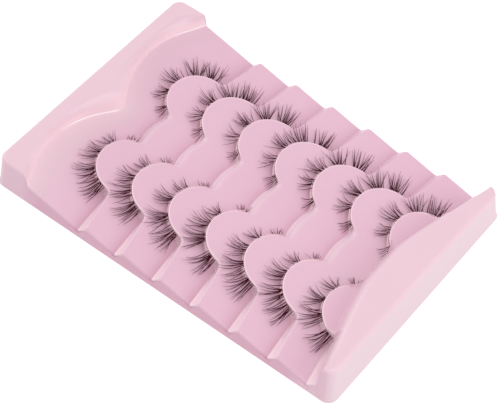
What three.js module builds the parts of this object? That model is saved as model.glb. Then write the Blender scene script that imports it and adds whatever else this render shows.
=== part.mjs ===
// A vacuum-formed tray that carries seven pairs of strip lashes, each strip a clear band with a
// fringe of spiky hair clusters. Millimetres, +Z up. The tray runs along X from its header to its
// end bar, the near column of strips is at -Y and the far column at +Y, and the origin is at the
// middle of the foot rim.
import * as THREE from "three";

// Tray outline
const TRAY_LENGTH = 160.6; // over the foot rim
const TRAY_WIDTH = 111.4; // over the foot rim
const DRAFT = 1.5; // the top outline stands this far inside the foot rim
const CORNER = 4; // radius of the upright corners
const CORNER_TURNS = [0, 30, 60, 90]; // degrees, one section of the tray at each
const PLATEAU = 14; // height of the header and of the end bar
const SHEET = 0.8; // thickness of the formed sheet

// Panels: sloping flats, one under each pair of strips, that fall away from the header and sag towards
// the middle of the tray; low is a panel's height at the foot of its riser
const ROWS = 7;
const PITCH = 18; // from one row to the next
const PANEL_EDGE = { low: 1.5, slope: 0.2745 };
const PANEL_MIDDLE = { low: 0.6, slope: 0.21 };
const HEAD_ROOM = 41.2; // from the foot rim to the first riser's foot at the long edge

// Risers, in x from the riser's own foot at the long edge: a shallow vee that points to the header,
// with a round lobe on each half
const VEE_EDGE = 3.7; // top line of the vee at the long edge
const VEE_RATE = 0.225; // how fast it comes forward from there
const VEE_POINT = -7.3; // and where it is between the lobes
const RUN_POINT = 2.9; // from foot line to top line between the lobes
const RUN_LOBE = 1.4; // outside the lobes
const RUN_EDGE = 3.7; // at the long edge
const LOBE_X = -1.9;
const LOBE_Y = 21.3;
const LOBE_RADIUS = 13.2; // at the lobe's top edge
const LOBE_SPLAY = 0.6; // the lobe's wall is this much wider at its foot
const LOBE_START = 84; // degrees from the header's direction, where the arc takes over from the vee
const EDGE_STEPS = 3;
const LOBE_STEPS = 12;
const POINT_STEPS = 3;

// Scallops of the header, in x from the first riser: two hollow arcs round the first pair of strips
const SCALLOP_TOP = { x: 14.6, y: 28, radius: 48 };
const SCALLOP_FOOT = { x: 4.9, y: 27.5, radius: 38 };
const CUSP_TOP = -25.4; // where the tongue between the scallops is rounded off
const CUSP_FOOT = -23.5;

// End bar, in x from the last riser: its inner wall comes forward to a flat point as the risers do
const BAR_EDGE = 4.8; // top of the inner wall at the long edge
const BAR_POINT = -5.9; // and at the middle
const BAR_FLAT = 9.6; // half width of the flat point
const BAR_LEAN = 0.7; // the foot of the inner wall is this far in front of its top

// Lash strips, in heights above the panel that they lie over and in degrees round the lobe: 0 points
// to the header, 90 to the long edge
const FIT_GAP = 0.3;
const BAND_DROP = 0.5; // from the lobe's top edge
const BAND_HEIGHT = 1.2;
const BAND_THICK = 0.6;
const BAND_ENDS = [86, -57];
const BAND_STEPS = 10;
const FRINGE_ROOT = 1.0; // thickness of the fringe at the band
const FRINGE_TIP = 0.7; // and at the tips
const FRINGE_FALL = 1.3; // the tips hang this much closer to the panel
const VALLEY = 0.6; // length of the short hairs between two clusters, as a share of the longer ones
const CLUSTERS = [
  { root: 76, lean: -8, length: 10.0 },
  { root: 46, lean: -4, length: 9.0 },
  { root: 20, lean: -2, length: 7.4 },
  { root: -7, lean: 0, length: 6.2 },
  { root: -29, lean: 0, length: 5.2 },
  { root: -49, lean: 0, length: 4.4 },
];

const FIRST_RISER = HEAD_ROOM - TRAY_LENGTH / 2;
const TOP_LENGTH = TRAY_LENGTH - 2 * DRAFT;
const TOP_WIDTH = TRAY_WIDTH - 2 * DRAFT;
const { lerp, degToRad } = THREE.MathUtils;

const riserX = (row) => FIRST_RISER + (row - 1) * PITCH;

function panelZ(row, x, y) {
  const edgeShare = (y / (TOP_WIDTH / 2)) ** 2;
  const low = lerp(PANEL_MIDDLE.low, PANEL_EDGE.low, edgeShare);
  const slope = lerp(PANEL_MIDDLE.slope, PANEL_EDGE.slope, edgeShare);
  return low + slope * (riserX(row) - x);
}

// Closed solids from two grids

// The grid's rim, anticlockwise seen from above when rows run along +X and columns along +Y.
function rim(grid) {
  const last = grid.length - 1;
  const end = grid[0].length - 1;
  return [
    ...grid.slice(0, last).map((section) => section[0]),
    ...grid[last].slice(0, end),
    ...grid.slice(1).reverse().map((section) => section[end]),
    ...grid[0].slice(1).reverse(),
  ];
}

// An upper and a lower grid of points, joined round their rims through any loops in between.
function closedSheet(upper, lower, loops = []) {
  const corners = [];
  const quad = (a, b, c, d) => corners.push(a, b, c, a, c, d);
  const cover = (grid, facing) => {
    for (let i = 1; i < grid.length; i++) {
      for (let j = 1; j < grid[i].length; j++) {
        const ring = [grid[i - 1][j - 1], grid[i][j - 1], grid[i][j], grid[i - 1][j]];
        quad(...(facing === "up" ? ring : ring.reverse()));
      }
    }
  };
  cover(upper, "up");
  cover(lower, "down");
  const chain = [rim(upper), ...loops, rim(lower)];
  for (let n = 1; n < chain.length; n++) {
    chain[n].forEach((point, k) => {
      const next = (k + 1) % chain[n].length;
      quad(chain[n - 1][k], point, chain[n][next], chain[n - 1][next]);
    });
  }
  const geometry = new THREE.BufferGeometry().setFromPoints(corners);
  geometry.computeVertexNormals();
  return geometry;
}

// Tray

// One skin of the formed sheet: the outer one has no inset, the inner one lies a sheet's thickness
// below it and inside it.
function traySkin(inset) {
  const halfLength = TOP_LENGTH / 2 - inset;
  const halfWidth = TOP_WIDTH / 2 - inset;
  const corner = CORNER - inset;
  const vee = (y) =>
    inset + (Math.abs(y) < LOBE_Y ? VEE_POINT : VEE_EDGE - VEE_RATE * (TOP_WIDTH / 2 - Math.abs(y)));
  const lobeEnd = LOBE_Y + LOBE_RADIUS;
  const run = (y) =>
    Math.abs(y) < LOBE_Y
      ? RUN_POINT
      : lerp(RUN_LOBE, RUN_EDGE, (Math.abs(y) - lobeEnd) / (TOP_WIDTH / 2 - lobeEnd));

  // A riser's line in plan from the near long edge to the far one: along the vee, round a lobe, across
  // the point of the vee, and the same again.
  const riserLine = (line, radius) => {
    const outer = degToRad(LOBE_START);
    const inner = -Math.acos((LOBE_X - line(0)) / radius);
    const half = [];
    for (let i = 0; i <= EDGE_STEPS; i++) {
      const y = lerp(halfWidth, LOBE_Y + radius, i / EDGE_STEPS);
      half.push([line(y), y]);
    }
    for (let i = 0; i <= LOBE_STEPS; i++) {
      const angle = lerp(outer, inner, i / LOBE_STEPS);
      half.push([LOBE_X - radius * Math.cos(angle), LOBE_Y + radius * Math.sin(angle)]);
    }
    for (let i = 1; i <= POINT_STEPS; i++) {
      const y = lerp(LOBE_Y + radius * Math.sin(inner), 0, i / POINT_STEPS);
      half.push([line(y), y]);
    }
    const near = half.map(([x, y]) => [x, -y]);
    return [...near, ...half.slice(0, -1).reverse()];
  };

  const top = riserLine(vee, LOBE_RADIUS - inset);
  const foot = riserLine((y) => vee(y) - run(y), LOBE_RADIUS + LOBE_SPLAY - inset);
  const across = top.map(([, y]) => y);

  const onPanel = (line, row, panel) =>
    line.map(([x, y]) => {
      const place = riserX(row) + x;
      return new THREE.Vector3(place, y, panelZ(panel, place, y) - inset);
    });
  const onPlateau = (x, width) =>
    across.map((y) => new THREE.Vector3(x(y), (y * width) / halfWidth, PLATEAU - inset));
  const cornerSections = (end, turns) =>
    turns.map((degrees) => {
      const turn = degToRad(degrees);
      const x = end * (halfLength - corner * (1 - Math.cos(turn)));
      return onPlateau(() => x, halfWidth - corner * (1 - Math.sin(turn)));
    });
  const scallop = (arc, cusp) => (y) => {
    const rise = Math.abs(y) - arc.y;
    return Math.min(arc.x - Math.sqrt(arc.radius ** 2 - rise ** 2), cusp) - inset;
  };
  const barTop = (y) => {
    const edgeShare = Math.max(0, (Math.abs(y) - BAR_FLAT) / (TOP_WIDTH / 2 - BAR_FLAT));
    return lerp(BAR_POINT, BAR_EDGE, edgeShare) + inset;
  };

  const sections = [
    ...cornerSections(-1, CORNER_TURNS),
    onPlateau((y) => riserX(1) + scallop(SCALLOP_TOP, CUSP_TOP)(y), halfWidth),
    onPanel(across.map((y) => [scallop(SCALLOP_FOOT, CUSP_FOOT)(y), y]), 1, 1),
  ];
  for (let row = 1; row <= ROWS; row++) {
    sections.push(onPanel(foot, row, row), onPanel(top, row, row + 1));
  }
  sections.push(
    onPanel(across.map((y) => [barTop(y) - BAR_LEAN, y]), ROWS, ROWS + 1),
    onPlateau((y) => riserX(ROWS) + barTop(y), halfWidth),
    ...cornerSections(1, [...CORNER_TURNS].reverse()),
  );

  const footScale = new THREE.Vector3(
    (TRAY_LENGTH / 2 - inset) / halfLength,
    (TRAY_WIDTH / 2 - inset) / halfWidth,
    0,
  );
  const footLoop = rim(sections).map((point) => point.clone().multiply(footScale));
  return { sections, footLoop };
}

function trayGeometry() {
  const outer = traySkin(0);
  const inner = traySkin(SHEET);
  return closedSheet(outer.sections, inner.sections, [outer.footLoop, inner.footLoop]);
}

// Lash strips

// A point beside a lobe: side is -1 in the near column and 1 in the far one.
function besideLobe(row, side, x, y, height) {
  const place = riserX(row) + LOBE_X + x;
  return new THREE.Vector3(place, side * (LOBE_Y + y), panelZ(row, place, LOBE_Y + y) + height);
}

// The grid's columns run along +Y, so those of the near column are turned round.
const facingUp = (grid, side) => (side > 0 ? grid : grid.map((section) => section.reverse()));

const lobeWall = panelZ(2, riserX(1), LOBE_Y) - panelZ(1, riserX(1), LOBE_Y);
const bandHigh = lobeWall - BAND_DROP;
const bandLow = bandHigh - BAND_HEIGHT;
const bandMiddle = (bandHigh + bandLow) / 2;
const bandInner = LOBE_RADIUS + LOBE_SPLAY * (1 - bandLow / lobeWall) + FIT_GAP;
const fringeInner = bandInner + BAND_THICK + FIT_GAP;

function bandGeometry(row, side) {
  const [outerEnd, innerEnd] = BAND_ENDS.map(degToRad);
  const skin = (height) => {
    const wall = (radius) =>
      Array.from({ length: BAND_STEPS + 1 }, (_, n) => {
        const angle = lerp(innerEnd, outerEnd, n / BAND_STEPS);
        return besideLobe(row, side, -radius * Math.cos(angle), radius * Math.sin(angle), height);
      });
    return facingUp([wall(bandInner + BAND_THICK), wall(bandInner)], side);
  };
  return closedSheet(skin(bandHigh), skin(bandLow));
}

// Hairs along the strip, from its inner end to its outer one: the middle of each cluster, and the
// short hairs at the ends and between two clusters.
function fringeHairs() {
  const [outerEnd, innerEnd] = BAND_ENDS;
  const first = CLUSTERS[0];
  const last = CLUSTERS[CLUSTERS.length - 1];
  const hairs = [{ ...first, root: outerEnd, length: first.length * VALLEY }];
  CLUSTERS.forEach((cluster, n) => {
    hairs.push(cluster);
    const next = CLUSTERS[n + 1] ?? { ...last, root: 2 * innerEnd - last.root };
    hairs.push({
      root: (cluster.root + next.root) / 2,
      lean: (cluster.lean + next.lean) / 2,
      length: VALLEY * Math.min(cluster.length, next.length),
    });
  });
  return hairs.reverse();
}

function fringeGeometry(row, side) {
  const skin = (face) => {
    const across = (share) =>
      fringeHairs().map(({ root, lean, length }) => {
        const angle = degToRad(root);
        const way = degToRad(root + lean);
        const x = -fringeInner * Math.cos(angle) - share * length * Math.cos(way);
        const y = fringeInner * Math.sin(angle) + share * length * Math.sin(way);
        const fall = FRINGE_FALL * share ** 2;
        const thick = lerp(FRINGE_ROOT, FRINGE_TIP, share);
        return besideLobe(row, side, x, y, bandMiddle - fall + (face * thick) / 2);
      });
    return facingUp([across(1), across(0.5), across(0)], side);
  };
  return closedSheet(skin(1), skin(-1));
}

// Assembly

const finishes = {
  tray: new THREE.MeshStandardMaterial({ color: "#e6bed0", roughness: 0.35, metalness: 0 }),
  band: new THREE.MeshStandardMaterial({ color: "#efe3e4", roughness: 0.25, metalness: 0 }),
  hair: new THREE.MeshStandardMaterial({ color: "#3a1b2a", roughness: 0.5, metalness: 0 }),
};

function piece(name, geometry, finish) {
  const mesh = new THREE.Mesh(geometry, finish);
  mesh.name = name;
  return mesh;
}

const lashTray = new THREE.Group();
lashTray.add(piece("tray", trayGeometry(), finishes.tray));
for (const [column, side] of [["near", -1], ["far", 1]]) {
  for (let row = 1; row <= ROWS; row++) {
    lashTray.add(
      piece(`lash_band_${column}_${row}`, bandGeometry(row, side), finishes.band),
      piece(`lash_fringe_${column}_${row}`, fringeGeometry(row, side), finishes.hair),
    );
  }
}

export default lashTray;
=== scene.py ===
# %% [markdown]
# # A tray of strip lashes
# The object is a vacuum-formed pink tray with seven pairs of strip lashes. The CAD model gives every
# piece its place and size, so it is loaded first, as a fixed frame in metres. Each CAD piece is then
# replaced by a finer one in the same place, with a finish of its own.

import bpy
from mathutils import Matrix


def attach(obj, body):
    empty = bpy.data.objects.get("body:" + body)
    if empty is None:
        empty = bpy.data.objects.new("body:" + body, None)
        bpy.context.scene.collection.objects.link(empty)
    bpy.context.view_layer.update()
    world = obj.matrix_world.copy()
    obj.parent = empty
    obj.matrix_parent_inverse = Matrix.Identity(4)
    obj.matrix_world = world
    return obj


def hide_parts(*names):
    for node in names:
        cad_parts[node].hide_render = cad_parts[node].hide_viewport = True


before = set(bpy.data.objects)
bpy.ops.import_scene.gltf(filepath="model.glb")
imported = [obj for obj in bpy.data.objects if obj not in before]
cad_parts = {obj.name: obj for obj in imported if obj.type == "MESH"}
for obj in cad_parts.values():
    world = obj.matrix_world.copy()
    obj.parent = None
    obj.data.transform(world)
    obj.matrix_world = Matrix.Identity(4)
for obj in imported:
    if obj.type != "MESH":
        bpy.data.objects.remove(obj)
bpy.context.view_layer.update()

# %% Bring in Blender and number arrays
import math

import bmesh
import bpy
import numpy as np
from mathutils import Quaternion, Vector

MM = 0.001
print("Blender", bpy.app.version_string)

# %% [markdown]
# ## The mould of the tray
# On the real tray a hot plastic sheet was sucked down over a mould, so its whole shape is one height
# over each point of the plan: a header, seven sloping panels that sag to the middle, a riser with two
# round lobes at the end of each panel, and a bar at the end. Booleans of lobed blocks would give the
# steps too, but not their soft fillets. So the mould is written down here line by line, from the header
# to the bar. All numbers in this part are millimetres.

# %% Sizes of the mould
HALF_LENGTH = 78.8
HALF_WIDTH = 54.2
FOOT_HALF_LENGTH = 80.3
FOOT_HALF_WIDTH = 55.7
CORNER = 4.0
PLATEAU = 14.0
ROWS = 7
PITCH = 18.0
FIRST_RISER = -39.1
# Height of a panel at its riser and its slope, in the middle of the tray and at the long edges
PANEL_MIDDLE = (0.6, 0.21)
PANEL_EDGE = (1.5, 0.2745)


def riser_x(row):
    """Place of a riser along the tray."""
    return FIRST_RISER + PITCH * (row - 1)


def panel_height(row, x, y):
    """Height of a panel: it falls along X and sags to the middle of the tray."""
    share = (y / HALF_WIDTH) ** 2
    low = PANEL_MIDDLE[0] + (PANEL_EDGE[0] - PANEL_MIDDLE[0]) * share
    slope = PANEL_MIDDLE[1] + (PANEL_EDGE[1] - PANEL_MIDDLE[1]) * share
    return low + slope * (riser_x(row) - x)


print("risers at", [round(riser_x(row), 1) for row in range(1, ROWS + 1)])

# %% [markdown]
# A riser is the step from one panel up to the next. Seen from above, its line slants in from the long
# edge as half of a vee, goes round a lobe, crosses the middle and comes back the same way on the other
# side. The sheet gets one column of points for each place along that line. All risers share these
# columns, so the mesh follows every lobe and no edge loop cuts across one.

# %% Columns along a riser line
EDGE_COLUMNS = 15
STEP_COLUMNS = 4
LOBE_COLUMNS = 44
POINT_COLUMNS = 8
# The first columns stand close to the long edge, where the sheet is rounded over
EDGE_FIRST = (0.0, 0.05, 0.21, 0.48, 0.8)
# Powers above 1 crowd the other columns towards the lobe
EDGE_CROWDING = 1.6
POINT_CROWDING = 1.4
SOFT_PASSES = 10
SOFT_START = 1.3
SOFT_COLUMNS = 5.0
SOFT_SHARE = 0.5


def soften(line):
    """Rounds the corners where the vee meets the lobe and where the lobe meets the middle."""
    corners = np.cumsum([EDGE_COLUMNS, STEP_COLUMNS, LOBE_COLUMNS])
    index = np.arange(len(line))
    near = np.min(np.abs(index[:, None] - corners[None, :]), axis=1)
    weight = np.clip(SOFT_START - near / SOFT_COLUMNS, 0, 1)[:, None]
    for _ in range(SOFT_PASSES):
        middle = (line[:-2] + line[2:]) / 2
        line[1:-1] += SOFT_SHARE * weight[1:-1] * (middle - line[1:-1])
    return line


HALF_COLUMNS = EDGE_COLUMNS + STEP_COLUMNS + LOBE_COLUMNS + POINT_COLUMNS + 1
print("columns from the long edge to the middle:", HALF_COLUMNS)

# %% One riser line: along the vee, round the lobe, across the middle
# Measured from the riser's own place: the vee at the long edge, its slant, its middle and the middle's bow
VEE_EDGE = 3.7
VEE_RATE = 0.225
VEE_POINT = -7.3
MIDDLE_BOW = 0.017
# How far the foot lies in front of the top: in the middle, beside a lobe and at the long edge
RUN_POINT = 2.9
RUN_LOBE = 1.4
RUN_EDGE = 3.7
LOBE_X = -1.9
LOBE_Y = 21.3
LOBE_RADIUS = 13.2
LOBE_SPLAY = 0.6
LOBE_START = math.radians(84)
LOBE_OUTER = LOBE_Y + LOBE_RADIUS
MEETING_ROUNDS = 12


def lobe_end(radius, point_x, bow):
    """Turn at which a lobe meets the bowed middle, found by going back and forth between the two."""
    turn = -math.acos((LOBE_X - point_x) / radius)
    for _ in range(MEETING_ROUNDS):
        y = LOBE_Y + radius * math.sin(turn)
        turn = -math.acos((LOBE_X - point_x - bow * y**2) / radius)
    return turn


def lobed_line(run_share, edge=0.0, lobe=0.0, point=0.0, bow=MIDDLE_BOW, runs=(RUN_LOBE, RUN_EDGE)):
    """Plan of a riser line from the near long edge to the far one. run_share is 0 for the top line and 1
    for the foot line; edge, lobe and point move the line up the next panel at those places."""
    radius = LOBE_RADIUS + LOBE_SPLAY * run_share - lobe
    point_x = VEE_POINT - RUN_POINT * run_share + point
    count = EDGE_COLUMNS + 1 - len(EDGE_FIRST)
    crowded = 1 - (1 - np.arange(1, count + 1) / count) ** EDGE_CROWDING
    outward = EDGE_FIRST[-1] + (HALF_WIDTH - LOBE_Y - radius - EDGE_FIRST[-1]) * crowded
    edge_y = HALF_WIDTH - np.concatenate([EDGE_FIRST, outward])
    run = runs[0] + (runs[1] - runs[0]) * (edge_y - LOBE_OUTER) / (HALF_WIDTH - LOBE_OUTER)
    edge_x = VEE_EDGE - VEE_RATE * (HALF_WIDTH - edge_y) - run_share * run + edge
    edge_xy = np.stack([edge_x, edge_y], axis=1)
    turn = np.linspace(LOBE_START, lobe_end(radius, point_x, bow), LOBE_COLUMNS + 1)
    lobe_xy = np.stack([LOBE_X - radius * np.cos(turn), LOBE_Y + radius * np.sin(turn)], axis=1)
    step = (np.arange(1, STEP_COLUMNS) / STEP_COLUMNS)[:, None]
    step_xy = edge_xy[-1] + (lobe_xy[0] - edge_xy[-1]) * step
    crowded = (np.arange(1, POINT_COLUMNS + 1) / POINT_COLUMNS) ** POINT_CROWDING
    inward = lobe_xy[-1, 1] * (1 - crowded)
    point_xy = np.stack([point_x + bow * inward**2, inward], axis=1)
    half = soften(np.concatenate([edge_xy, step_xy, lobe_xy, point_xy]))
    return np.concatenate([half * (1, -1), half[-2::-1]])


across = lobed_line(0)[:, 1]
COLUMNS = len(across)
print("columns across the sheet:", COLUMNS)

# %% [markdown]
# A real riser has a crisp foot, a leaning wall and a round top, so it needs a few lines instead of one.
# Each round is a set of lines on a curve between two tangents, as a bevel with segments would make it.
# Every point also gets a tint for the finish. Below 0 it is painted shade, deepest at a riser's foot.
# Above 0 it is painted light, as on the walls, up to a painted highlight on the rims of the lobes.

# %% Helpers for lines: laid on a panel, rounded, and with values by place
ROUND_STEPS = 4
EDGE_OVERLAP = 2
POINT_OVERLAP = 3
BLUR_PASSES = 12


def on_panel(row, line, tint=0.0):
    """A line of the plan laid on a panel, with its tint."""
    x = line[:, 0]
    y = line[:, 1]
    return np.stack([x, y, panel_height(row, x, y), np.broadcast_to(tint, x.shape)], axis=1)


def rounded(start, corner, end):
    """Lines of a round from one tangent to the other, with the sharp corner as its control line."""
    share = np.linspace(0, 1, ROUND_STEPS + 1)[:, None, None]
    return list((1 - share) ** 2 * start + 2 * share * (1 - share) * corner + share**2 * end)


def by_place(edge, lobe, point):
    """One value for each column, at the long edge, on the lobes and between them, with soft changes."""
    arc_end = EDGE_COLUMNS + STEP_COLUMNS + LOBE_COLUMNS
    half = np.full(HALF_COLUMNS, float(lobe))
    half[: EDGE_COLUMNS + EDGE_OVERLAP] = edge
    half[arc_end - POINT_OVERLAP :] = point
    for _ in range(BLUR_PASSES):
        half[1:-1] = (half[:-2] + 2 * half[1:-1] + half[2:]) / 4
    return np.concatenate([half, half[-2::-1]])


def ease(value, start, end):
    """Rises smoothly from 0 to 1 between two values."""
    share = np.clip((value - start) / (end - start), 0, 1)
    return share**2 * (3 - 2 * share)


print("lines in a round:", ROUND_STEPS + 1)

# %% One riser: crisp foot, leaning wall, round at the top
# Reach of the rounds on the panels and share of the wall that they take: at the edge, on a lobe, between
TOP_ROUND = (0.7, 0.6, 2.0)
TOP_SHARES = (0.25, 0.12, 0.45)
FOOT_ROUND = (0.5, 0.4, 0.6)
FOOT_SHARES = (0.12, 0.1, 0.14)
# Painted shade at the foot, painted light up the wall and a painted highlight on the rim of a lobe, and
# how strong they are at the near and the far long edge
PAINTED_SHADE_FOOT = -0.65
PAINTED_SHADE_PLACES = (1.0, 0.6, 1.0)
PAINTED_LIGHT_FOOT = 0.75
PAINTED_LIGHT_HIGH = 0.45
PAINTED_LIGHT_TOP = 0.15
PAINTED_HIGHLIGHT_RIM = 1.5
NEAR_PAINTED_LIGHT = 1.4
FAR_PAINTED_LIGHT = 0.25
FAR_PAINTED_SHADE = 0.6


def riser_lines(row, top_round=TOP_ROUND, bow=MIDDLE_BOW, shift=(0.0, 0.0), runs=(RUN_LOBE, RUN_EDGE),
                foot_painted_shade_and_light=PAINTED_SHADE_FOOT, middle_painted_light=1.0):
    """All lines of one riser, from the panel in front of it to the panel on top of it. Shift moves the foot
    and the top of its middle along X, and runs are those of its foot beside a lobe and at the edge."""
    there = (riser_x(row), 0)
    far = slice(COLUMNS // 2, None)
    # Painted light on the wall, a painted highlight on the lobe's rim and painted shade before the foot
    painted_light = by_place(NEAR_PAINTED_LIGHT, 1.0, middle_painted_light)
    painted_light[far] = by_place(FAR_PAINTED_LIGHT, 1.0, middle_painted_light)[far]
    painted_rim = by_place(PAINTED_LIGHT_TOP, PAINTED_HIGHLIGHT_RIM, PAINTED_LIGHT_TOP) * painted_light
    painted_shade = foot_painted_shade_and_light * by_place(*PAINTED_SHADE_PLACES)
    painted_shade[far] *= by_place(FAR_PAINTED_SHADE, 1.0, 1.0)[far]
    lead = lobed_line(1, -FOOT_ROUND[0], -FOOT_ROUND[1], shift[0] - FOOT_ROUND[2], bow, runs)
    before = on_panel(row, lead + there, painted_shade)
    foot = on_panel(row, lobed_line(1, point=shift[0], bow=bow, runs=runs) + there, PAINTED_LIGHT_FOOT * painted_light)
    top = on_panel(row + 1, lobed_line(0, point=shift[1], bow=bow) + there, painted_rim)
    beyond = lobed_line(0, top_round[0], top_round[1], shift[1] + top_round[2], bow)
    after = on_panel(row + 1, beyond + there)
    low = foot + (top - foot) * by_place(*FOOT_SHARES)[:, None]
    high = top + (foot - top) * by_place(*TOP_SHARES)[:, None]
    high[:, 3] = PAINTED_LIGHT_HIGH * painted_light
    return rounded(before, foot, low) + rounded(high, top, after)


print("lines in one riser:", len(riser_lines(1)))

# %% [markdown]
# The header is a level plateau whose edge is cut into two hollow scallops with a soft tongue between
# them. Its wall falls to the first panel in one long curve, so it is made of two rounds. That wall
# carries painted light, and parts of the crease along its foot carry a painted white highlight.

# %% Lines on the plateaus and on the panels
# The lines at an upright corner start as close together as the columns at the long edge
CORNER_REST = (46, 60, 75, 90)
CORNER_TURNS = np.concatenate([np.arccos(1 - np.array(EDGE_FIRST) / CORNER), np.radians(CORNER_REST)])
# Painted sheen: the plateaus are painted lighter than the panels, for the light their flat tops catch
PLATEAU_SHEEN = 0.3
# Lines of a panel: shares of its length at its start, then steps before its end with their largest shares
FIRST_SHARES = (0.06, 0.25)
LAST_STEPS = (8.0, 5.0, 3.2, 1.9, 0.9)
LARGEST_SHARES = (0.7, 0.6, 0.5, 0.4, 0.3)
# How far the painted light at a panel's start and the painted shade at its riser's foot reach
PAINTED_LIGHT_REACH = 6.0
FOOT_PAINT_REACH = 2.6


def level_line(x, half_width=HALF_WIDTH):
    """A line on a plateau."""
    y = across * half_width / HALF_WIDTH
    level = np.full(COLUMNS, PLATEAU)
    tint = np.full(COLUMNS, PLATEAU_SHEEN)
    return np.stack([np.broadcast_to(x, across.shape), y, level, tint], axis=1)


def end_lines(side):
    """Lines of a plateau's end, where the two upright corners are rounded off."""
    lines = []
    for turn in CORNER_TURNS:
        x = side * (HALF_LENGTH - CORNER * (1 - math.cos(turn)))
        lines.append(level_line(x, HALF_WIDTH - CORNER * (1 - math.sin(turn))))
    return lines


def between(start, end, shares):
    """Lines between two others."""
    return [start + (end - start) * share for share in shares]


def panel_lines(row, start, end):
    """Lines of a panel; the painted light of its start fades out, and the painted shade of its riser's
    foot, a little painted light at the last riser, comes in.
    """
    gap = (end[:, 0] - start[:, 0])[:, None]
    shares = list(FIRST_SHARES)
    for step, largest in zip(LAST_STEPS, LARGEST_SHARES):
        shares.append(1 - np.minimum(step / gap, largest))
    lines = [on_panel(row, line[:, :2]) for line in between(start, end, shares)]
    for line in lines:
        line[:, 3] = start[:, 3] * np.exp(-(line[:, 0] - start[:, 0]) / PAINTED_LIGHT_REACH)
        line[:, 3] += end[:, 3] * np.exp(-(end[:, 0] - line[:, 0]) / FOOT_PAINT_REACH)
    return lines


header = end_lines(-1)
print("lines round the header's corners:", len(header))

# %% The header's wall with its two scallops
# Each arc has its centre along X, its centre across and its radius; the cusps are the tongue's place
SCALLOP_TOP = (14.6, 28.0, 48.0)
SCALLOP_FOOT = (4.9, 27.5, 38.0)
CUSP_TOP = -25.4
CUSP_FOOT = -23.5
CUSP_SOFT = 1.2
SHOULDER = 4.5
SHOULDER_ROOM = 0.6
LANDING = 0.5
WALL_TOP_SHARE = 0.6
WALL_FOOT_SHARE = 0.1
HEADER_SHARES = (0.3, 0.7, 0.95)
# At the long edges the shoulder is crisper, the top is pushed out and the foot is tucked in
CRISP_REACH = (46.0, 53.0)
CRISP_SHARE = 0.8
TOP_PUSH = 1.0
FOOT_TUCK = 1.0


def scallop_line(arc, cusp):
    """The edge of the header along X: two hollow arcs with a soft tongue between them."""
    hollow = arc[0] - np.sqrt(arc[2] ** 2 - (np.abs(across) - arc[1]) ** 2)
    soft = -CUSP_SOFT * np.log(np.exp(-hollow / CUSP_SOFT) + math.exp(-cusp / CUSP_SOFT))
    return soft + riser_x(1)


at_edge = ease(np.abs(across), *CRISP_REACH)
top_x = scallop_line(SCALLOP_TOP, CUSP_TOP) + TOP_PUSH * at_edge
foot_x = scallop_line(SCALLOP_FOOT, CUSP_FOOT) - FOOT_TUCK * at_edge
room = top_x + HALF_LENGTH - CORNER
setback = np.minimum(SHOULDER, SHOULDER_ROOM * room) * (1 - CRISP_SHARE * at_edge)
shoulder = level_line(top_x - setback)
scallop_top = level_line(top_x)
scallop_foot = on_panel(1, np.stack([foot_x, across], axis=1))
landing = on_panel(1, np.stack([foot_x + LANDING, across], axis=1))
wall = rounded(shoulder, scallop_top, scallop_top + (scallop_foot - scallop_top) * WALL_TOP_SHARE)
wall += rounded(scallop_foot + (scallop_top - scallop_foot) * WALL_FOOT_SHARE, scallop_foot, landing)
header += between(header[-1], shoulder, HEADER_SHARES)
print("scallops reach from", round(top_x.min(), 1), "to", round(top_x.max(), 1), "mm")

# %% Painted light and a painted highlight on the header's wall
NEAR_WALL_LIGHT = (0.3, 0.4, 0.6, 0.85, 1.0, 1.0, 0.9, 0.7, 0.55, 0.65)
FAR_WALL_LIGHT = (0.2, 0.25, 0.45, 0.8, 1.0, 1.0, 0.9, 0.6, 0.3, 0.15)
# Stretches across the tray: from the near painted light to the far one, and where the painted highlight
# on the crease comes and goes
FAR_SIDE = (-20.0, 40.0)
# Painted white highlight along parts of the foot's crease
CREASE_HIGHLIGHT = 1.2
CREASE_LINES = (6, 7)
CREASE_START = (-29.0, -17.0)
CREASE_STOP = (-2.5, -0.5)
CREASE_AGAIN = (33.0, 45.0)
AGAIN_SHARE = 0.8

far_share = ease(across, *FAR_SIDE)
for line, near_light, far_light in zip(wall, NEAR_WALL_LIGHT, FAR_WALL_LIGHT):
    line[:, 3] = near_light + (far_light - near_light) * far_share
crease = ease(across, *CREASE_START) * (1 - ease(across, *CREASE_STOP))
crease += AGAIN_SHARE * ease(across, *CREASE_AGAIN)
for k in CREASE_LINES:
    wall[k][:, 3] += (CREASE_HIGHLIGHT - wall[k][:, 3]) * crease
header += wall
print("lines in the header:", len(header))

# %% [markdown]
# Panels and risers now follow one another by the same two functions. The end bar has the contour of a
# wide vee with a soft point, and it stands as high as the header. Its wall could stop short at the
# seventh riser, but on the real tray the two run together: from the lobes to the long edges they are
# one slope, so their lines are blended there.

# %% Seven panels with their risers
# The last riser is sharper at its top and straight in its middle, which lies nearer to the header
LAST_TOP_ROUND = (0.1, 0.6, 0.15)
LAST_BOW = 0.0
LAST_SHIFT = (-0.4, -2.1)
LAST_RUNS = (3.3, 4.2)
# A little painted light, instead of painted shade, at the last riser's foot, the bar's foot and the panel
# between them, and a smaller share of painted light in the last riser's middle
LAST_PAINTED_LIGHT = 0.1
LAST_MIDDLE_LIGHT = 0.2

mould = list(header)
for row in range(1, ROWS):
    riser = riser_lines(row)
    mould += panel_lines(row, mould[-1], riser[0]) + riser
riser = riser_lines(ROWS, LAST_TOP_ROUND, LAST_BOW, LAST_SHIFT, LAST_RUNS, LAST_PAINTED_LIGHT, LAST_MIDDLE_LIGHT)
mould += panel_lines(ROWS, mould[-1], riser[0]) + riser
print("lines up to the last riser:", len(mould))

# %% Lines of the end bar
# The top edge, measured from the last riser: at the long edges and at the point, and how soft it turns
BAR_EDGE = 5.5
BAR_POINT = -5.9
BAR_FLAT = 9.6
BAR_SOFT = 2.5
BAR_CURVE = 1.2
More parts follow.
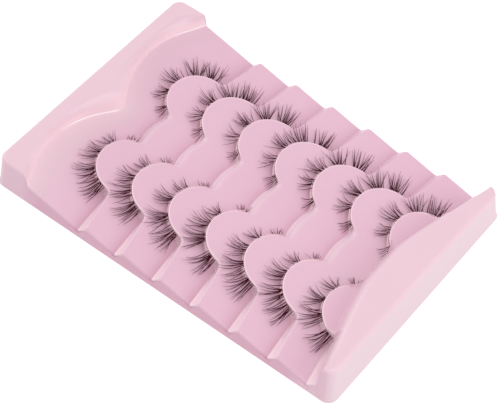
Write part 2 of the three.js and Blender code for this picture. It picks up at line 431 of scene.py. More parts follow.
# The draft of its wall, and the rounds at its foot and its top with the share of the room they may take
BAR_DRAFT = 3.3
BAR_GAP = 0.2
BAR_LEAD = 0.6
LEAD_ROOM = 0.6
BAR_ROUND = 3.0
ROUND_ROOM = 0.7
# At the near long edge the bar's top edge lies nearer to the header
BAR_TUCK = 1.2
TUCK_REACH = (44.0, 54.0)

slant = BAR_SOFT * np.log1p(np.exp((np.abs(across) - BAR_FLAT) / BAR_SOFT)) / (HALF_WIDTH - BAR_FLAT)
bar_x = riser_x(ROWS) + BAR_POINT + (BAR_EDGE - BAR_POINT) * slant**BAR_CURVE
bar_x -= BAR_TUCK * ease(-across, *TUCK_REACH)
bar_top = level_line(bar_x)
bar_after = level_line(bar_x + np.minimum(BAR_ROUND, ROUND_ROOM * (HALF_LENGTH - CORNER - bar_x)))
bar_foot_x = np.maximum(bar_x - BAR_DRAFT, mould[-1][:, 0] + BAR_GAP)
lead = np.minimum(BAR_LEAD, LEAD_ROOM * (bar_foot_x - mould[-1][:, 0]))
bar_foot = on_panel(ROWS + 1, np.stack([bar_foot_x, across], axis=1), LAST_PAINTED_LIGHT)
bar_before = on_panel(ROWS + 1, np.stack([bar_foot_x - lead, across], axis=1))
print("bar's top edge from", round(bar_x.min(), 1), "to", round(bar_x.max(), 1), "mm")

# %% Blend the last riser into the bar
DISC_SHARES = (0.03, 0.27, 0.5, 0.73, 0.97)
SLOPE_SHARE = 0.3
BAR_WALL_SHARE = 0.5
# The blend comes in beyond a lobe and goes out before the long edge
BLEND_LOBE = (32.0, 35.0)
BLEND_EDGE = (1.5, 8.0)
# Painted light on the round at the bar's top
BAR_ROUND_LIGHT = (0.3, 0.35, 0.4, 0.4, 0.3)
BAR_SHARES = (0.1, 0.5)

disc = between(mould[-1], bar_before, DISC_SHARES)
for line in disc:
    nearness = np.exp(-(bar_foot_x - line[:, 0]) / FOOT_PAINT_REACH)
    line[:] = on_panel(ROWS + 1, line[:, :2], LAST_PAINTED_LIGHT * nearness)
low = mould[-ROUND_STEPS - 2]
ledge = mould[-ROUND_STEPS - 1 :] + disc
ledge += rounded(bar_before, bar_foot, bar_foot + (bar_top - bar_foot) * WALL_FOOT_SHARE)
mould = mould[: -ROUND_STEPS - 1]
blend = ease(np.abs(across), *BLEND_LOBE) * ease(HALF_WIDTH - np.abs(across), *BLEND_EDGE)
blend = blend[:, None]
bar_wall = bar_top + (bar_foot - bar_top) * BAR_WALL_SHARE
bar_wall += (bar_top + (low - bar_top) * SLOPE_SHARE - bar_wall) * blend
bar_round = rounded(bar_wall, bar_top, bar_after)
for line, tint in zip(bar_round, BAR_ROUND_LIGHT):
    line[:, 3] = tint
for step, line in enumerate(ledge, 1):
    line += (low + (bar_round[0] - low) * step / (len(ledge) + 1) - line) * blend
bar_end = end_lines(1)[::-1]
mould += ledge + bar_round + between(bar_after, bar_end[0], BAR_SHARES) + bar_end
mould = np.array(mould)
print("mould of", mould.shape[0], "lines by", mould.shape[1], "columns")

# %% Round the mould over along its outline
EDGE_ROUND = 0.8
END_ROUND = 1.8
END_REACH = (74.8, 77.5)
# Painted shade: a thin deep line along the far edge
FAR_COLUMNS = 3
FAR_EDGE_SHADE = -0.8
FAR_REACH = (70.0, 74.8)


def inside_outline(x, y):
    """Distance of a point of the plan from the outline, a rectangle with round corners."""
    beyond_x = np.abs(x) - HALF_LENGTH + CORNER
    beyond_y = np.abs(y) - HALF_WIDTH + CORNER
    outer = np.hypot(np.maximum(beyond_x, 0), np.maximum(beyond_y, 0))
    return CORNER - outer - np.minimum(np.maximum(beyond_x, beyond_y), 0)


radius = EDGE_ROUND + (END_ROUND - EDGE_ROUND) * ease(mould[..., 0], *END_REACH)
short = np.clip(radius - inside_outline(mould[..., 0], mould[..., 1]), 0, radius)
mould[..., 2] -= radius - np.sqrt(radius**2 - short**2)
far_edge = mould[:, -FAR_COLUMNS:]
far_edge[..., 3] += (FAR_EDGE_SHADE - far_edge[..., 3]) * (1 - ease(np.abs(far_edge[..., 0]), *FAR_REACH))
print("points on the round:", int((short > 0).sum()))

# %% [markdown]
# ## The formed sheet
# The sheet starts as Blender's flat grid, as it lies over the mould before the vacuum is drawn, and
# each of its points is then pulled onto the mould. A subdivided cage would be lighter, but it would
# blur the lobes. The side walls are extruded from the outline and drawn out to the foot rim, and at the
# bar they lean in a little, as a deep draw needs to leave its mould. Solidify gives the sheet its
# thickness at the end.

# %% Pull a flat grid onto the mould
def start_piece():
    """Leaves edit mode and deselects everything, because the next operator acts on all that is selected."""
    if bpy.context.object and bpy.context.object.mode != "OBJECT":
        bpy.ops.object.mode_set(mode="OBJECT")
    bpy.ops.object.select_all(action="DESELECT")


def vertex_places(mesh):
    """Places of a mesh's vertices as an array, in metres."""
    places = np.zeros(len(mesh.vertices) * 3, np.float32)
    mesh.vertices.foreach_get("co", places)
    return places.reshape(-1, 3)


def move_vertices(mesh, places):
    """Puts a mesh's vertices to new places, in metres."""
    mesh.vertices.foreach_set("co", places.astype(np.float32).ravel())
    mesh.update()


GRID_SIDE = 2

start_piece()
lines, columns = mould.shape[:2]
bpy.ops.mesh.primitive_grid_add(x_subdivisions=lines - 1, y_subdivisions=columns - 1, size=GRID_SIDE)
tray = bpy.context.object
tray.name = "tray_sheet"
flat = vertex_places(tray.data)
line_index = np.rint((flat[:, 0] / GRID_SIDE + 0.5) * (lines - 1)).astype(int)
column_index = np.rint((flat[:, 1] / GRID_SIDE + 0.5) * (columns - 1)).astype(int)
formed = mould[line_index, column_index]
move_vertices(tray.data, formed[:, :3] * MM)
print("formed sheet:", len(tray.data.polygons), "faces")

# %% Draw the side walls down to the foot rim
# The wall starts with a short upright lip and ends in a small flare
WALL_START = 0.25
FLARE_HEIGHT = 0.5
FLARE = 0.35
ABOVE_FLARE = (FOOT_HALF_LENGTH - FLARE, FOOT_HALF_WIDTH - FLARE)

bpy.ops.object.mode_set(mode="EDIT")
bpy.ops.mesh.select_all(action="DESELECT")
bpy.ops.mesh.select_mode(type="EDGE")
bpy.ops.mesh.select_non_manifold(extend=False, use_wire=False, use_multi_face=False,
                                 use_non_contiguous=False, use_verts=False, use_boundary=True)
bpy.ops.mesh.extrude_edges_move()
bpy.ops.transform.translate(value=(0, 0, -WALL_START * MM))
bpy.ops.mesh.extrude_edges_move()
bpy.ops.transform.resize(value=(ABOVE_FLARE[0] / HALF_LENGTH, ABOVE_FLARE[1] / HALF_WIDTH, 0),
                         center_override=(0, 0, 0))
bpy.ops.transform.translate(value=(0, 0, FLARE_HEIGHT * MM))
bpy.ops.mesh.extrude_edges_move()
bpy.ops.transform.resize(value=(FOOT_HALF_LENGTH / ABOVE_FLARE[0], FOOT_HALF_WIDTH / ABOVE_FLARE[1], 0),
                         center_override=(0, 0, 0))
bpy.ops.object.mode_set(mode="OBJECT")
print("sheet with walls:", len(tray.data.polygons), "faces")

# %% Lean the bar's outer walls in and tuck the far wall's foot
# A wall leans more with its height; the end wall leans less towards the far edge
LEAN_HEIGHTS = (5.0, 12.0)
LEAN_END = 1.2
LEAN_END_X = (72.0, HALF_LENGTH)
FAR_RELIEF = 0.65
RELIEF_REACH = (25.0, 50.0)
LEAN_NEAR = 1.6
LEAN_NEAR_X = (66.0, 73.0)
LEAN_NEAR_Y = (46.0, HALF_WIDTH)
# Between the header and the bar the far wall is steeper
FAR_TUCK = 0.8
FAR_TUCK_REACH = (69.5, 76.0)

x, y, z = vertex_places(tray.data).T / MM
rise = np.clip((z - LEAN_HEIGHTS[0]) / (LEAN_HEIGHTS[1] - LEAN_HEIGHTS[0]), 0, 1)
lean_x = LEAN_END * rise * ease(x, *LEAN_END_X) * (1 - FAR_RELIEF * ease(y, *RELIEF_REACH))
lean_y = LEAN_NEAR * rise * ease(x, *LEAN_NEAR_X) * ease(-y, *LEAN_NEAR_Y)
outside = np.clip((y - HALF_WIDTH) / (FOOT_HALF_WIDTH - HALF_WIDTH), 0, 1)
tuck = FAR_TUCK * outside * (1 - ease(np.abs(x), *FAR_TUCK_REACH))
move_vertices(tray.data, np.stack([x - lean_x, y + lean_y - tuck, z], axis=1) * MM)
print("walls lean in by up to", lean_x.max(), "and", lean_y.max(), "mm")

# %% Note the painted light and shade of every point
# Walls: painted shade along the panels, painted light at the header and the bar, and more at the two ends
MIDDLE_WALL_SHADE = -0.38
LONG_WALL_LIGHT = 0.15
MIDDLE_REACH = (58.0, 68.0)
END_WALL_LIGHT = 0.36
WALL_BLEND = (76.0, 79.2)
# The finish reads tints from -1.25 to 1.25 as 0 to 1
RAMP_MIDDLE = 0.5
RAMP_RATE = 0.4

at_end = ease(np.abs(x), *WALL_BLEND)
tints = MIDDLE_WALL_SHADE + (LONG_WALL_LIGHT - MIDDLE_WALL_SHADE) * ease(np.abs(x), *MIDDLE_REACH)
tints += (END_WALL_LIGHT - LONG_WALL_LIGHT) * at_end
tints[: len(formed)] = formed[:, 3]
# The end walls get the painted light of the white floor
end_wall_floor_light = at_end * (np.arange(len(tints)) >= len(formed))


def note_values(mesh, label, values):
    """Keeps one number for each point of a mesh as an attribute that a material can read."""
    layer = mesh.attributes.new(label, "FLOAT", "POINT")
    layer.data.foreach_set("value", values.astype(np.float32))


note_values(tray.data, "painted_light_and_shade", RAMP_MIDDLE + RAMP_RATE * tints)
note_values(tray.data, "floor_light", end_wall_floor_light)
print("tint from", tints.min(), "to", tints.max())

# %% Give the sheet its thickness
SHEET = 0.35
SMOOTH_ANGLE = math.radians(50)

solid = tray.modifiers.new("sheet", "SOLIDIFY")
solid.thickness = SHEET * MM
solid.offset = -1
solid.use_quality_normals = True
bpy.ops.object.modifier_apply(modifier=solid.name)
# The thickness tips the rim's inner edge below the floor, so those points are set level with it
bpy.ops.object.mode_set(mode="EDIT")
bpy.ops.mesh.select_mode(type="VERT")
bpy.ops.mesh.select_all(action="DESELECT")
sheet_mesh = bmesh.from_edit_mesh(tray.data)
for vertex in sheet_mesh.verts:
    vertex.select_set(vertex.co.z < 0)
bmesh.update_edit_mesh(tray.data)
bpy.ops.transform.resize(value=(1, 1, 0), center_override=(0, 0, 0))
bpy.ops.object.mode_set(mode="OBJECT")
bpy.ops.object.shade_smooth_by_angle(angle=SMOOTH_ANGLE)
print("tray faces:", len(tray.data.polygons))

# %% [markdown]
# ## The clear bands
# Each strip hangs on a thin clear band that is stuck round the wall of a lobe. A band could be a curve
# with a bevel, but a section that is spun round the lobe is how a lathe would turn it, and it stays a
# clean mesh. It is modelled once in the plan of a lobe and then laid on the panel under each strip,
# mirrored for the near column.

# %% Spin one band round the lobe
# The section of the band, its height above the panel, and its two ends as turns round the lobe
BAND_RADIUS = 13.62
BAND_THICK = 0.36
BAND_TALL = 1.05
BAND_MIDDLE = 2.9
BAND_ENDS = (-59, 86)
BAND_STEPS = 48
BAND_SIDES = 12
WELD = 0.001
# The section starts as a circle of this size, so that the resize gives it the sizes above
CIRCLE = 1.0

start_piece()
section = (-BAND_RADIUS * MM, 0, BAND_MIDDLE * MM)
bpy.ops.mesh.primitive_circle_add(vertices=BAND_SIDES, radius=CIRCLE / 2 * MM, fill_type="NGON",
                                  location=section, rotation=(math.pi / 2, 0, 0))
band_model = bpy.context.object
bpy.ops.object.transform_apply(location=True, rotation=True, scale=True)
bpy.ops.object.mode_set(mode="EDIT")
bpy.ops.mesh.select_all(action="SELECT")
bpy.ops.transform.resize(value=(BAND_THICK, 1, BAND_TALL), center_override=section)
bpy.ops.transform.rotate(value=math.radians(BAND_ENDS[0]), orient_axis="Z", center_override=(0, 0, 0))
bpy.ops.mesh.spin(steps=BAND_STEPS, angle=math.radians(BAND_ENDS[1] - BAND_ENDS[0]), center=(0, 0, 0),
                  axis=(0, 0, 1))
bpy.ops.mesh.select_all(action="SELECT")
bpy.ops.mesh.remove_doubles(threshold=WELD * MM)
bpy.ops.mesh.normals_make_consistent(inside=False)
bpy.ops.object.mode_set(mode="OBJECT")
band_flat = np.array([vertex.co for vertex in band_model.data.vertices]) / MM
band_turn = np.degrees(np.arctan2(band_flat[:, 1], -band_flat[:, 0]))
print("band from", round(band_turn.min()), "to", round(band_turn.max()), "degrees")

# %% Lay a band under each strip
SIDES = {"near": -1, "far": 1}


def lay_on_panel(points, row, side):
    """Points round a lobe, x, y and height above the panel in mm, moved to their strip, in metres."""
    x = points[:, 0] + riser_x(row) + LOBE_X
    y = side * (points[:, 1] + LOBE_Y)
    return np.stack([x, y, points[:, 2] + panel_height(row, x, y)], axis=1) * MM


bands = {}
for side_name, side in SIDES.items():
    for row in range(1, ROWS + 1):
        band = band_model.copy()
        band.data = band_model.data.copy()
        band.name = f"clear_band_{side_name}_{row}"
        bpy.context.scene.collection.objects.link(band)
        move_vertices(band.data, lay_on_panel(band_flat, row, side))
        if side < 0:
            band.data.flip_normals()
        band.data.shade_smooth()
        bands[side_name, row] = band
bpy.data.objects.remove(band_model)
print("bands laid:", len(bands))

# %% [markdown]
# ## The lash hairs
# A strip carries some 80 tapered hairs in five clusters. Most hairs of a cluster fan out from one knot,
# the others come from beside it, and about half have a finer hair close by. The roots cross the top of
# the band, a little lower at the end towards the far edge, and the hairs sag to the panel and get
# shorter round the lobe. Hair curves would have to be made into a mesh for the export anyway, so each
# strip is one mesh of thin four-sided tubes from arrays, with a seed of its own, so no two are alike.

# %% Five clusters in each strip
# Each cluster: turn round the lobe, half spread of its roots and of its tips in degrees, length, strands
CLUSTERS = (
    (71, 11, 13, 11.2, 12),
    (42, 12, 16, 10.6, 13),
    (11, 12, 15, 9.2, 12),
    (-18, 11, 13, 7.4, 9),
    (-52, 6, 10, 5.4, 7),
)
LONGEST = CLUSTERS[0][3]
# Roots: distance from the lobe's axis, height above the panel, and a drop that comes in between two turns
HAIR_ROOT = 13.42
ROOT_HIGH = 3.6
END_DROP = 1.0
DROP_TURNS = (5, 45)


def polar(turn, reach, high):
    """A point round a lobe, from its turn in degrees and its reach from the lobe's axis."""
    angle = math.radians(turn)
    return np.array([-reach * math.cos(angle), reach * math.sin(angle), high])


def root_height(turn, side):
    """Height of a root above the panel: lower at the end of the strip that lies towards the far edge."""
    return ROOT_HIGH - END_DROP * ease(side * turn, *DROP_TURNS)


print("strands in a strip:", sum(cluster[4] for cluster in CLUSTERS))

# %% Where the hairs of a cluster go
# Turns are in degrees. A pair of numbers is a range to draw from, and a wander is a normal spread.
CLUSTER_WANDER = 2.0
KNOT_HALF = (3.0, 7.0)
KNOTTED_SHARE = 0.6
STRAND_PLACES = (0.15, 0.85)
ROOT_WANDER = 0.8
TIP_WANDER = 2.0
MIDDLE_LENGTH = 1.03
OUTER_LOSS = 0.1
LENGTHS = (0.7, 1.0)
TIP_HEIGHTS = (1.1, 2.5)
SAG = 0.32
SAGS = (0.6, 1.15)
LEANS = (0.3, 0.55)
# Each strand is one hair or a thick and a fine one, which part a little
THICK = (0.29, 0.37)
FINE = (0.12, 0.18)
PAIRED_SHARE = 0.5
FINEST = 0.55
THICKEST = 0.9
PAIR_ROOT_LIFTS = (-0.3, 0.15)
PAIR_ROOT_TURNS = (-0.9, 0.9)
PAIR_TIP_WANDER = 0.8
PAIR_LENGTHS = (0.88, 1.0)
PAIR_TIP_LIFT = 0.15
PAIR_BEND_WANDER = 0.6


def cluster_paths(rng, side, centre, half_root, half_tip, length, strands):
    """Root, bend and tip of each hair of a cluster, with its thickness in mm."""
    paths = []
    centre += rng.normal(0, CLUSTER_WANDER)
    knot = rng.uniform(*KNOT_HALF)
    finer = min(THICKEST, FINEST + (1 - FINEST) * length / LONGEST)
    for strand in range(strands):
        place = (strand + rng.uniform(*STRAND_PLACES)) / strands * 2 - 1
        half = knot if rng.uniform() < KNOTTED_SHARE else half_root
        root_turn = centre + half * place + rng.normal(0, ROOT_WANDER)
        tip_turn = centre + half_tip * place + rng.normal(0, TIP_WANDER)
        reach = length * (MIDDLE_LENGTH - OUTER_LOSS * place**2) * rng.uniform(*LENGTHS)
        tip_high = rng.uniform(*TIP_HEIGHTS) * length / LONGEST
        low = (ROOT_HIGH + tip_high) / 2 - SAG * reach * rng.uniform(*SAGS)
        lean = root_turn + (tip_turn - root_turn) * rng.uniform(*LEANS)
        pair = (rng.uniform(*THICK), rng.uniform(*FINE))
        paired = rng.uniform() < PAIRED_SHARE
        for thick in pair[: 1 + paired]:
            high = root_height(root_turn, side) + rng.uniform(*PAIR_ROOT_LIFTS)
            root = polar(root_turn + rng.uniform(*PAIR_ROOT_TURNS), HAIR_ROOT, high)
            turn = tip_turn + rng.normal(0, PAIR_TIP_WANDER)
            tip_reach = HAIR_ROOT + reach * rng.uniform(*PAIR_LENGTHS)
            tip = polar(turn, tip_reach, tip_high + rng.normal(0, PAIR_TIP_LIFT))
            bend = polar(lean + rng.normal(0, PAIR_BEND_WANDER), HAIR_ROOT + reach / 2, low)
            paths.append((root, bend, tip, thick * finer))
    return paths


print("hairs in a cluster:", len(cluster_paths(np.random.default_rng(1), 1, *CLUSTERS[0])))

# %% All hairs of a strip
# Two single hairs stand at the strip's outer end: turn of the root and the tip, and reach
END_HAIRS = ((79.0, 80.0, 11.0), (82.5, 83.0, 10.2))
END_LENGTHS = (0.85, 1.0)
END_TIP_HIGH = 2.6
END_SAG = 0.6
END_THICK = 0.26


def hair_paths(rng, side):
    """Root, bend and tip of each hair of a strip, with its thickness in mm."""
    paths = []
    for cluster in CLUSTERS:
        paths += cluster_paths(rng, side, *cluster)
    for root_turn, tip_turn, reach in END_HAIRS:
        root = polar(root_turn, HAIR_ROOT, root_height(root_turn, side))
        tip = polar(tip_turn, HAIR_ROOT + reach * rng.uniform(*END_LENGTHS), END_TIP_HIGH)
        paths.append((root, (root + tip) / 2 - (0, 0, END_SAG), tip, END_THICK))
    return paths


print("hairs in a strip:", len(hair_paths(np.random.default_rng(1), 1)))

# %% Make the hairs of every strip
HAIR_STEPS = 7
HAIR_SIDES = 4
TIP_SHARE = 0.25
TAPER_POWER = 1.7
FIRST_SEED = 40
ROW_SEEDS = 10


def hair_strip(name, row, side, rng):
    """One mesh with all hairs of a strip, with the share along its hair and a tone noted at each point."""
    share = np.linspace(0, 1, HAIR_STEPS + 1)[:, None]
    taper = (1 - (1 - TIP_SHARE) * share**TAPER_POWER)[:, :, None]
    points = []
    faces = []
    along = []
    tones = []
    for root, bend, tip, thick in hair_paths(rng, side):
        path = (1 - share) ** 2 * root + 2 * share * (1 - share) * bend + share**2 * tip
        ahead = np.gradient(path, axis=0)
        ahead /= np.linalg.norm(ahead, axis=1, keepdims=True)
        beside = np.cross(ahead, (0, 0, 1))
        beside /= np.linalg.norm(beside, axis=1, keepdims=True)
        above = np.cross(beside, ahead)
        ring = np.stack([beside, above, -beside, -above], axis=1) * taper * thick / 2
        start = HAIR_SIDES * (HAIR_STEPS + 1) * len(tones)
        points.append((path[:, None, :] + ring).reshape(-1, 3))
        for step in range(HAIR_STEPS):
            base = start + HAIR_SIDES * step
            for k in range(HAIR_SIDES):
                beyond = base + (k + 1) % HAIR_SIDES
                faces.append((base + k, beyond, beyond + HAIR_SIDES, base + k + HAIR_SIDES))
        last = start + HAIR_SIDES * HAIR_STEPS
        faces.append(tuple(range(start, start + HAIR_SIDES))[::-1])
        faces.append(tuple(range(last, last + HAIR_SIDES)))
        along.append(np.repeat(share[:, 0], HAIR_SIDES))
        tones.append(np.full(HAIR_SIDES * (HAIR_STEPS + 1), rng.uniform()))
    mesh = bpy.data.meshes.new(name)
    mesh.from_pydata(lay_on_panel(np.concatenate(points), row, side).tolist(), [], faces)
    note_values(mesh, "along", np.concatenate(along))
    note_values(mesh, "tone", np.concatenate(tones))
    if side > 0:
        mesh.flip_normals()
    mesh.shade_smooth()
    strip = bpy.data.objects.new(name, mesh)
    bpy.context.scene.collection.objects.link(strip)
    return strip


fringes = {}
for side_name, side in SIDES.items():
    for row in range(1, ROWS + 1):
        rng = np.random.default_rng(FIRST_SEED + ROW_SEEDS * row + side)
        fringes[side_name, row] = hair_strip(f"lash_hairs_{side_name}_{row}", row, side, rng)
print("hair faces:", sum(len(fringe.data.polygons) for fringe in fringes.values()))

# %% [markdown]
# ## The finishes
# Three materials cover the part: pink vacuum-formed PET sheet, a clear flexible band and dark PBT
# fibre. Colours are written as sRGB hex values, as a picker gives them, and one function turns them to
# the linear values that Cycles works in. One more function adds a node with its settings and links.
# What is the same all over a piece is set on the shader itself.

# %% Helpers for materials
def to_linear(colour):
    """A hex sRGB colour as linear RGBA."""
    parts = [int(colour[k : k + 2], 16) / 255 for k in (1, 3, 5)]
    return [p / 12.92 if p <= 0.04045 else ((p + 0.055) / 1.055) ** 2.4 for p in parts] + [1.0]


def wire(material, node, links):
    """Links sockets of a node to outputs of other nodes."""
    for socket, (source, output) in links.items():
        material.node_tree.links.new(source.outputs[output], node.inputs[socket])


def add_node(material, kind, settings=None, values=None, links=None):
    """Adds a node with its settings and socket values; links maps a socket to another node's output."""
    node = material.node_tree.nodes.new(kind)
    for name, value in (settings or {}).items():
        setattr(node, name, value)
    for socket, value in (values or {}).items():
        node.inputs[socket].default_value = value
    wire(material, node, links or {})
    return node


def new_finish(name, values):
    """A new material and its shader, with the shader's sockets set to the values given."""
    material = bpy.data.materials.new(name)
    material.use_nodes = True
    shader = material.node_tree.nodes["Principled BSDF"]
    for socket, value in values.items():
        shader.inputs[socket].default_value = value
    return material, shader


# Numbers of a mix node's colour sockets: two inputs and the output
MIX_A = 6
MIX_B = 7
MIX_RESULT = 2
print("sheet pink in linear light:", [round(c, 3) for c in to_linear("#dcb2c5")])

# %% [markdown]
# The sheet is PET that was coloured in the melt and formed over a satin mould. To the eye that gives a
# pink with slow clouds in it, a satin gloss and a very fine orange peel. Painted shade deepens the pink
# at the feet of the risers, and painted light makes it paler on the walls and plateaus, up to a painted
# white highlight on the rims and on a crease at the header. The end walls get a greyer pink, painted
# light from the white table. An image texture could hold all this, but the tint noted at each point
# follows the shape by itself.

# %% Pink vacuum-formed PET: the tint
CLOUD_MM = 35.0
CLOUD_DRIFT = 0.05
# A greyer pink on the end walls: painted light from the white floor
FLOOR_LIGHT_COLOUR = "#dbc2cb"
# From painted shade through the sheet's own pink at 0.5 to a painted white highlight
SHADE_TO_HIGHLIGHT = {
    0.1: "#cb94a9",
    0.5: "#dcb2c5",
    0.62: "#e0bfcb",
    0.74: "#e6c6d2",
    0.9: "#f3d4dc",
    1.0: "#fffafc",
}

pink_sheet, shader = new_finish("pink_vacuum_formed_PET", {"IOR": 1.57})
where = add_node(pink_sheet, "ShaderNodeTexCoord")
cloud = add_node(pink_sheet, "ShaderNodeTexNoise", values={"Scale": 1 / (CLOUD_MM * MM), "Detail": 2.0},
                 links={"Vector": (where, "Object")})
drift = add_node(pink_sheet, "ShaderNodeMapRange", values={"To Min": -CLOUD_DRIFT, "To Max": CLOUD_DRIFT},
                 links={"Value": (cloud, "Fac")})
painted_light_and_shade = add_node(pink_sheet, "ShaderNodeAttribute", {"attribute_name": "painted_light_and_shade"})
paint_and_cloud = add_node(pink_sheet, "ShaderNodeMath", {"operation": "ADD"},
                 links={0: (painted_light_and_shade, "Fac"), 1: (drift, "Result")})
shade_to_highlight_ramp = add_node(pink_sheet, "ShaderNodeValToRGB", links={"Fac": (paint_and_cloud, "Value")})
for position in list(SHADE_TO_HIGHLIGHT)[1:-1]:
    shade_to_highlight_ramp.color_ramp.elements.new(position)
for stop, (position, colour) in zip(shade_to_highlight_ramp.color_ramp.elements, SHADE_TO_HIGHLIGHT.items()):
    stop.position = position
    stop.color = to_linear(colour)
floor_light = add_node(pink_sheet, "ShaderNodeAttribute", {"attribute_name": "floor_light"})
tint = add_node(pink_sheet, "ShaderNodeMix", {"data_type": "RGBA"}, values={MIX_B: to_linear(FLOOR_LIGHT_COLOUR)},
                links={0: (floor_light, "Fac"), MIX_A: (shade_to_highlight_ramp, "Color")})
print("stops in the tint:", len(shade_to_highlight_ramp.color_ramp.elements))

# %% Pink vacuum-formed PET: the gloss
# The peel is drawn coarser than the real one, so that it shows at the picture's size
PEEL_MM = 0.5
PEEL_DEEP = 0.02
PEEL_STRENGTH = 0.08
SATIN = (0.36, 0.46)

peel = add_node(pink_sheet, "ShaderNodeTexNoise", values={"Scale": 1 / (PEEL_MM * MM), "Detail": 3.0},
                links={"Vector": (where, "Object")})
gloss = add_node(pink_sheet, "ShaderNodeMapRange", values={"To Min": SATIN[0], "To Max": SATIN[1]},
                 links={"Value": (peel, "Fac")})
bump = add_node(pink_sheet, "ShaderNodeBump",
                values={"Strength": PEEL_STRENGTH, "Distance": PEEL_DEEP * MM},
                links={"Height": (peel, "Fac")})
wire(pink_sheet, shader, {"Base Color": (tint, MIX_RESULT), "Roughness": (gloss, "Result"),
                          "Normal": (bump, "Normal")})
tray.data.materials.append(pink_sheet)
print("tray finish:", pink_sheet.name)

# %% [markdown]
# The band is a thin strip of clear soft plastic. To the eye it is hardly there: it takes on the pink of
# the wall behind it, and only its wavy gloss catches small glints. A full glass shader needs many
# bounces of light to look clear so close to a wall, so the band is mostly pale pink, with a fifth of
# clear transmission.

# %% Clear flexible band
RIPPLE_MM = 0.8
RIPPLE_DEEP = 0.05
RIPPLE_STRENGTH = 0.25

clear_band, shader = new_finish("clear_flexible_band", {
    "Base Color": to_linear("#f9d3de"),
    "Roughness": 0.1,
    "IOR": 1.49,
    "Transmission Weight": 0.2,
})
where = add_node(clear_band, "ShaderNodeTexCoord")
ripple = add_node(clear_band, "ShaderNodeTexNoise", values={"Scale": 1 / (RIPPLE_MM * MM), "Detail": 2.0},
                  links={"Vector": (where, "Object")})
wavy = add_node(clear_band, "ShaderNodeBump",
                values={"Strength": RIPPLE_STRENGTH, "Distance": RIPPLE_DEEP * MM},
                links={"Height": (ripple, "Fac")})
wire(clear_band, shader, {"Normal": (wavy, "Normal")})
for band in bands.values():
    band.data.materials.clear()
    band.data.materials.append(clear_band)
print("band finish:", clear_band.name)

# %% [markdown]
# The hairs are PBT fibre that was drawn thin, dyed and set in a curve by heat. To the eye they are dark
# brown and matt, nearly black where roots crowd together, and lighter towards the tips, where a real
# hair is too thin to hide what lies behind it. The share along each hair, noted at its points, drives
# that fade, and a tone for each hair keeps neighbours apart.

# %% Dark PBT fibre
FADE_START = 0.25
TONE_SHARE = 0.35

lash_fibre, shader = new_finish("dark_PBT_fibre", {"Roughness": 0.6, "Specular IOR Level": 0.03})
along = add_node(lash_fibre, "ShaderNodeAttribute", {"attribute_name": "along"})
tone = add_node(lash_fibre, "ShaderNodeAttribute", {"attribute_name": "tone"})
fade = add_node(lash_fibre, "ShaderNodeValToRGB", links={"Fac": (along, "Fac")})
fade.color_ramp.elements[0].position = FADE_START
fade.color_ramp.elements[0].color = to_linear("#4c1023")
fade.color_ramp.elements[1].color = to_linear("#9a6479")
shade = add_node(lash_fibre, "ShaderNodeMix", {"data_type": "RGBA", "blend_type": "MULTIPLY"},
                 values={0: TONE_SHARE}, links={MIX_A: (fade, "Color"), MIX_B: (tone, "Fac")})
wire(lash_fibre, shader, {"Base Color": (shade, MIX_RESULT)})
for fringe in fringes.values():
    fringe.data.materials.append(lash_fibre)
print("hair finish:", lash_fibre.name)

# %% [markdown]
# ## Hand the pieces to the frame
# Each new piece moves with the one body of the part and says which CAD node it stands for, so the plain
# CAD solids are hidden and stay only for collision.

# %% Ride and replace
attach(tray, "root")
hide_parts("tray")
for (side_name, row), band in bands.items():
    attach(band, "root")
    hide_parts(f"lash_band_{side_name}_{row}")
for (side_name, row), fringe in fringes.items():
    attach(fringe, "root")
    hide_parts(f"lash_fringe_{side_name}_{row}")
print("pieces:", 1 + len(bands) + len(fringes))

# %% [markdown]
# ## Floor, light and camera
# The tray stands on white paper that is lit from below, as a light table is, so the paper goes to pure
# white round it. A bright surround fills the shadows, and three square lights give the gloss its
# direction: one high on the right and two low ones at the ends. The camera has the long lens and the
# angle of a product picture: it looks down at the near long side and the bar's end, with a slight roll.

# %% White paper floor
PAPER_SIDE = 6

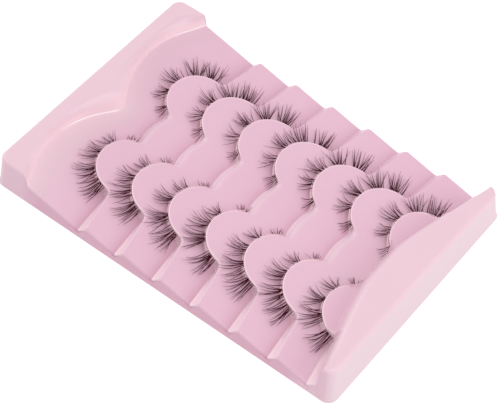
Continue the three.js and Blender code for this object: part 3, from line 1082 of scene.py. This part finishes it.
start_piece()
bpy.ops.mesh.primitive_plane_add(size=PAPER_SIDE)
floor = bpy.context.object
floor.name = "floor"
paper, shader = new_finish("white_paper", {
    "Base Color": to_linear("#6e6d6d"),
    "Roughness": 0.9,
    "Emission Color": to_linear("#ffffff"),
    "Emission Strength": 0.88,
})
floor.data.materials.append(paper)
print("floor side in metres:", floor.dimensions.x)

# %% Soft studio light
SURROUND = 0.78
# Each light: place and side in metres, power in watts
LIGHTS = {
    "top_right": ((0.55, -0.03, 1.1), 0.35, 3.0),
    "right_low": ((1.1, 0.25, 0.62), 0.7, 3.0),
    "left_low": ((-1.2, 0.1, 0.6), 0.7, 5.0),
}

world = bpy.data.worlds.new("studio")
world.use_nodes = True
surround = world.node_tree.nodes["Background"]
surround.inputs["Color"].default_value = to_linear("#ffffff")
surround.inputs["Strength"].default_value = SURROUND
bpy.context.scene.world = world
bpy.context.scene.view_settings.view_transform = "Standard"
for name, (place, size, power) in LIGHTS.items():
    lamp = bpy.data.lights.new(name, "AREA")
    lamp.shape = "SQUARE"
    lamp.size = size
    lamp.energy = power
    lamp_object = bpy.data.objects.new(name, lamp)
    lamp_object.location = place
    lamp_object.rotation_mode = "QUATERNION"
    lamp_object.rotation_quaternion = (-Vector(place)).to_track_quat("-Z", "Y")
    bpy.context.scene.collection.objects.link(lamp_object)
print("lights:", list(LIGHTS))

# %% Camera at the picture's angle
AZIMUTH = math.radians(35.0)
ELEVATION = math.radians(52.4)
ROLL = math.radians(3.51)
TARGET = Vector((2.0, -1.23, 0.0)) * MM
DISTANCE = 687.3 * MM
LENS = 128.75
SENSOR = 36.0
CLIP_START = 0.01

camera_data = bpy.data.cameras.new("camera")
camera_data.lens = LENS
camera_data.sensor_width = SENSOR
camera_data.clip_start = CLIP_START
camera = bpy.data.objects.new("camera", camera_data)
bpy.context.scene.collection.objects.link(camera)
level = math.cos(ELEVATION)
back = Vector((math.sin(AZIMUTH) * level, -math.cos(AZIMUTH) * level, math.sin(ELEVATION)))
camera.location = TARGET + back * DISTANCE
camera.rotation_mode = "QUATERNION"
camera.rotation_quaternion = (-back).to_track_quat("-Z", "Y") @ Quaternion((0, 0, 1), ROLL)
bpy.context.scene.camera = camera
print("camera at", [round(c, 3) for c in camera.location])
